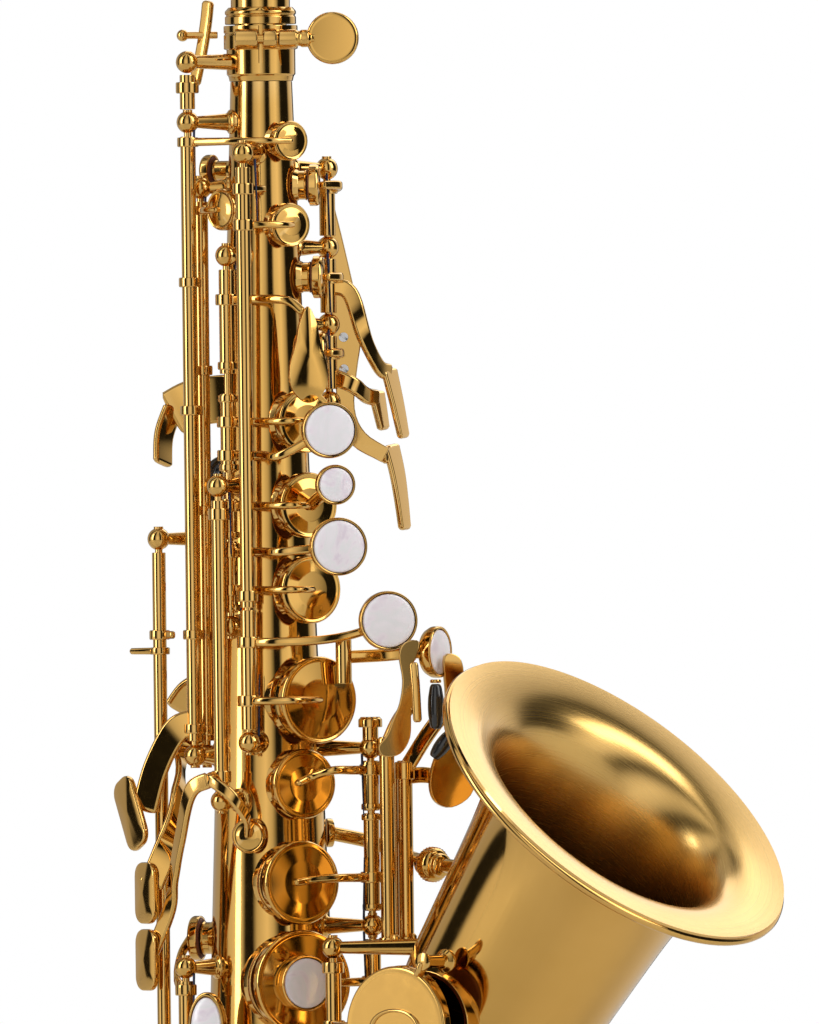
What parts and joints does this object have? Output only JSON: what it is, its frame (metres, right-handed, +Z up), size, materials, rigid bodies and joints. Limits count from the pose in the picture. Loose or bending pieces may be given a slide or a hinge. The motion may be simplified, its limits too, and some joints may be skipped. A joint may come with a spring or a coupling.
{
  "type": "soprano saxophone",
  "caption": "Curved soprano saxophone in gold lacquer: conical body, bow, upturned bell, bent neck with a black mouthpiece, hinged keys with pearl touches and rollers.",
  "frame": {"origin": "the bottom centre of the instrument's box, below the bow", "axes": "+Z up along the body tube towards the neck, +X from the body tube towards the bell, -Y towards the player's right hand side"},
  "size_m": [0.2614, 0.0996, 0.451],
  "materials": {
    "lacquer_gold": "glossy",
    "pearl": "glossy",
    "black": "glossy",
    "cork": "matte",
    "cane": "satin"
  },
  "bodies": {
    "sax_body": {"bell": "lacquer_gold", "bell_brace": "lacquer_gold", "bell_key_guard": "lacquer_gold", "bell_ring": "lacquer_gold", "body_ring": "lacquer_gold", "body_tube": "lacquer_gold", "bow": "lacquer_gold", "neck_receiver": "lacquer_gold", "strap_ring": "lacquer_gold", "thumb_hook": "lacquer_gold", "thumb_rest": "black"},
    "a_key": {"a_key": "lacquer_gold", "pearl_a": "pearl"},
    "b_key": {"b_key": "lacquer_gold", "pearl_b": "pearl"},
    "bis_key": {"bis_key": "lacquer_gold", "pearl_bis": "pearl"},
    "body_octave_key": {"body_octave_key": "lacquer_gold"},
    "d_key": {"d_key": "lacquer_gold", "pearl_d": "pearl"},
    "e_key": {"e_key": "lacquer_gold", "pearl_e": "pearl"},
    "f_key": {"f_key": "lacquer_gold", "pearl_f": "pearl"},
    "f_sharp_key": {"f_sharp_key": "lacquer_gold"},
    "f_sharp_trill_key": {"f_sharp_trill_key": "lacquer_gold", "pearl_trill": "pearl"},
    "front_f_key": {"front_f_key": "lacquer_gold"},
    "g_key": {"g_key": "lacquer_gold", "pearl_g": "pearl"},
    "g_sharp_key": {"g_sharp_key": "lacquer_gold"},
    "g_sharp_lever": {"g_sharp_lever": "lacquer_gold", "pearl_g_sharp": "pearl"},
    "high_e_key": {"high_e_key": "lacquer_gold"},
    "high_f_sharp_key": {"high_f_sharp_key": "lacquer_gold"},
    "high_f_sharp_lever": {"high_f_sharp_lever": "lacquer_gold"},
    "neck": {"ligature": "lacquer_gold", "mouthpiece": "black", "neck_cork": "cork", "neck_tube": "lacquer_gold", "reed": "cane"},
    "low_b_flat_key": {"low_b_flat_key": "lacquer_gold"},
    "low_b_flat_lever": {"low_b_flat_lever": "lacquer_gold"},
    "low_b_key": {"low_b_key": "lacquer_gold"},
    "low_b_lever": {"low_b_lever": "lacquer_gold"},
    "low_c_key": {"low_c_key": "lacquer_gold"},
    "low_c_sharp_key": {"low_c_sharp_key": "lacquer_gold"},
    "low_c_sharp_lever": {"low_c_sharp_lever": "lacquer_gold"},
    "low_e_flat_key": {"low_e_flat_key": "lacquer_gold"},
    "lower_roller": {"lower_roller": "black"},
    "neck_octave_key": {"neck_octave_key": "lacquer_gold"},
    "octave_arm": {"octave_arm": "lacquer_gold"},
    "octave_lever": {"octave_lever": "lacquer_gold"},
    "palm_d_key": {"palm_d_key": "lacquer_gold"},
    "palm_e_flat_key": {"palm_e_flat_key": "lacquer_gold"},
    "palm_f_key": {"palm_f_key": "lacquer_gold"},
    "receiver_screw": {"receiver_screw": "lacquer_gold"},
    "side_b_flat_key": {"side_b_flat_key": "lacquer_gold"},
    "side_c_key": {"side_c_key": "lacquer_gold"},
    "upper_roller": {"upper_roller": "black"}
  },
  "joints": [
    {"name": "b_key_hinge", "type": "hinge", "parent": "sax_body", "child": "b_key", "pos_m": [-0.01302, -0.01626, 0.28395], "axis": [0, 0, 1], "range_deg": [0, 9]},
    {"name": "bis_key_hinge", "type": "hinge", "parent": "sax_body", "child": "bis_key", "pos_m": [-0.01302, -0.01626, 0.26245], "axis": [0, 0, 1], "range_deg": [0, 9]},
    {"name": "a_key_hinge", "type": "hinge", "parent": "sax_body", "child": "a_key", "pos_m": [-0.01302, -0.01626, 0.24805], "axis": [0, 0, 1], "range_deg": [0, 9]},
    {"name": "g_key_hinge", "type": "hinge", "parent": "sax_body", "child": "g_key", "pos_m": [-0.00528, -0.01903, 0.22475], "axis": [0, 0, 1], "range_deg": [0, 9]},
    {"name": "f_sharp_key_hinge", "type": "hinge", "parent": "sax_body", "child": "f_sharp_key", "pos_m": [0.01312, 0.0063, 0.17655], "axis": [0, 0, -1], "range_deg": [0, 9]},
    {"name": "f_key_hinge", "type": "hinge", "parent": "sax_body", "child": "f_key", "pos_m": [0.01312, 0.0063, 0.14505], "axis": [0, 0, -1], "range_deg": [0, 9]},
    {"name": "e_key_hinge", "type": "hinge", "parent": "sax_body", "child": "e_key", "pos_m": [0.01312, 0.0063, 0.11745], "axis": [0, 0, -1], "range_deg": [0, 9]},
    {"name": "d_key_hinge", "type": "hinge", "parent": "sax_body", "child": "d_key", "pos_m": [0.01312, 0.0063, 0.08845], "axis": [0, 0, -1], "range_deg": [0, 9]},
    {"name": "g_sharp_lever_hinge", "type": "hinge", "parent": "sax_body", "child": "g_sharp_lever", "pos_m": [0.01128, -0.00178, 0.22675], "axis": [0, 0, 1], "range_deg": [0, 6]},
    {"name": "g_sharp_key_hinge", "type": "hinge", "parent": "sax_body", "child": "g_sharp_key", "pos_m": [0.01312, 0.0063, 0.1956], "axis": [0, 0, 1], "range_deg": [0, 6]},
    {"name": "f_sharp_trill_key_hinge", "type": "hinge", "parent": "sax_body", "child": "f_sharp_trill_key", "pos_m": [-0.0243, -0.02175, 0.13375], "axis": [0, 0, 1], "range_deg": [0, 8]},
    {"name": "front_f_key_hinge", "type": "hinge", "parent": "sax_body", "child": "front_f_key", "pos_m": [-0.01302, -0.01626, 0.31175], "axis": [0, 0, 1], "range_deg": [0, 6]},
    {"name": "high_e_key_hinge", "type": "hinge", "parent": "sax_body", "child": "high_e_key", "pos_m": [-0.02478, -0.01635, 0.27975], "axis": [0, 0, -1], "range_deg": [0, 8]},
    {"name": "side_c_key_hinge", "type": "hinge", "parent": "sax_body", "child": "side_c_key", "pos_m": [-0.02603, -0.00996, 0.26975], "axis": [0, 0, -1], "range_deg": [0, 6]},
    {"name": "side_b_flat_key_hinge", "type": "hinge", "parent": "sax_body", "child": "side_b_flat_key", "pos_m": [-0.01205, -0.0219, 0.22975], "axis": [0, 0, -1], "range_deg": [0, 6]},
    {"name": "high_f_sharp_lever_hinge", "type": "hinge", "parent": "sax_body", "child": "high_f_sharp_lever", "pos_m": [-0.03544, -0.01662, 0.17975], "axis": [0, 0, -1], "range_deg": [0, 8]},
    {"name": "high_f_sharp_key_hinge", "type": "hinge", "parent": "sax_body", "child": "high_f_sharp_key", "pos_m": [-0.00528, -0.01903, 0.29475], "axis": [0, 0, -1], "range_deg": [0, 8]},
    {"name": "octave_lever_hinge", "type": "hinge", "parent": "sax_body", "child": "octave_lever", "pos_m": [-0.02645, 0.0086, 0.29475], "axis": [0, 0, 1], "range_deg": [0, 6]},
    {"name": "body_octave_key_hinge", "type": "hinge", "parent": "sax_body", "child": "body_octave_key", "pos_m": [-0.02645, 0.0086, 0.33475], "axis": [0, 0, -1], "range_deg": [0, 6]},
    {"name": "palm_f_key_hinge", "type": "hinge", "parent": "sax_body", "child": "palm_f_key", "pos_m": [-0.00697, 0.01694, 0.33995], "axis": [0, 0, 1], "range_deg": [0, 8]},
    {"name": "palm_e_flat_key_hinge", "type": "hinge", "parent": "sax_body", "child": "palm_e_flat_key", "pos_m": [-0.00697, 0.01694, 0.3206], "axis": [0, 0, 1], "range_deg": [0, 8]},
    {"name": "palm_d_key_hinge", "type": "hinge", "parent": "sax_body", "child": "palm_d_key", "pos_m": [-0.00697, 0.01694, 0.3014], "axis": [0, 0, 1], "range_deg": [0, 8]},
    {"name": "low_b_flat_lever_hinge", "type": "hinge", "parent": "sax_body", "child": "low_b_flat_lever", "pos_m": [0.01365, 0.01542, 0.177], "axis": [0, 0, 1], "range_deg": [0, 7]},
    {"name": "low_b_flat_key_hinge", "type": "hinge", "parent": "sax_body", "child": "low_b_flat_key", "pos_m": [0.02034, -0.019, 0.13495], "axis": [0, 0, 1], "range_deg": [0, 7]},
    {"name": "low_b_lever_hinge", "type": "hinge", "parent": "sax_body", "child": "low_b_lever", "pos_m": [0.01969, 0.01166, 0.178], "axis": [0, 0, 1], "range_deg": [0, 8]},
    {"name": "low_b_key_hinge", "type": "hinge", "parent": "sax_body", "child": "low_b_key", "pos_m": [0.02034, -0.019, 0.0973], "axis": [0, 0, 1], "range_deg": [0, 8]},
    {"name": "low_c_sharp_lever_hinge", "type": "hinge", "parent": "sax_body", "child": "low_c_sharp_lever", "pos_m": [0.01903, 0.00526, 0.181], "axis": [0, 0, 1], "range_deg": [0, 8]},
    {"name": "low_c_sharp_key_hinge", "type": "hinge", "parent": "sax_body", "child": "low_c_sharp_key", "pos_m": [0.02034, -0.019, 0.06815], "axis": [0, 0, -1], "range_deg": [0, 8]},
    {"name": "low_c_key_hinge", "type": "hinge", "parent": "sax_body", "child": "low_c_key", "pos_m": [-0.02453, -0.02329, 0.06975], "axis": [0, 0, 1], "range_deg": [0, 8]},
    {"name": "low_e_flat_key_hinge", "type": "hinge", "parent": "sax_body", "child": "low_e_flat_key", "pos_m": [-0.03156, -0.01932, 0.07975], "axis": [0, 0, 1], "range_deg": [0, 8]},
    {"name": "neck_octave_key_hinge", "type": "hinge", "parent": "neck", "child": "neck_octave_key", "pos_m": [-0.00186, 0, 0.40175], "axis": [0, 1, 0], "range_deg": [0, 6]},
    {"name": "octave_arm_hinge", "type": "hinge", "parent": "sax_body", "child": "octave_arm", "pos_m": [-0.02478, -0.01635, 0.36975], "axis": [0, 0, -1], "range_deg": [0, 6]},
    {"name": "neck_swivel", "type": "hinge", "parent": "sax_body", "child": "neck", "pos_m": [-0.01416, 0, 0.38575], "axis": [0, 0, 1], "range_deg": [-20, 20]},
    {"name": "receiver_screw_turn", "type": "hinge", "parent": "sax_body", "child": "receiver_screw", "pos_m": [-0.00253, -0.00513, 0.38225], "axis": [0.788, 0.6157, 0], "range_deg": [-180, 180]},
    {"name": "upper_roller_turn", "type": "hinge", "parent": "low_b_lever", "child": "upper_roller", "pos_m": [0.03269, 0.00793, 0.21525], "axis": [0, 0, 1], "continuous": true},
    {"name": "lower_roller_turn", "type": "hinge", "parent": "low_b_flat_lever", "child": "lower_roller", "pos_m": [0.03227, 0.0114, 0.20575], "axis": [0.4859, 0.3797, 0.7872], "continuous": true}
  ],
  "couplings": [
    {"joint": "bis_key_hinge", "follows": "a_key_hinge", "ratio": 1},
    {"joint": "f_sharp_key_hinge", "follows": "f_key_hinge", "ratio": 1},
    {"joint": "g_sharp_key_hinge", "follows": "g_sharp_lever_hinge", "ratio": 1},
    {"joint": "high_f_sharp_key_hinge", "follows": "high_f_sharp_lever_hinge", "ratio": 1},
    {"joint": "body_octave_key_hinge", "follows": "octave_lever_hinge", "ratio": 1},
    {"joint": "octave_arm_hinge", "follows": "octave_lever_hinge", "ratio": 1},
    {"joint": "low_b_flat_key_hinge", "follows": "low_b_flat_lever_hinge", "ratio": 1},
    {"joint": "low_b_key_hinge", "follows": "low_b_lever_hinge", "ratio": 1},
    {"joint": "low_c_sharp_key_hinge", "follows": "low_c_sharp_lever_hinge", "ratio": 1}
  ]
}
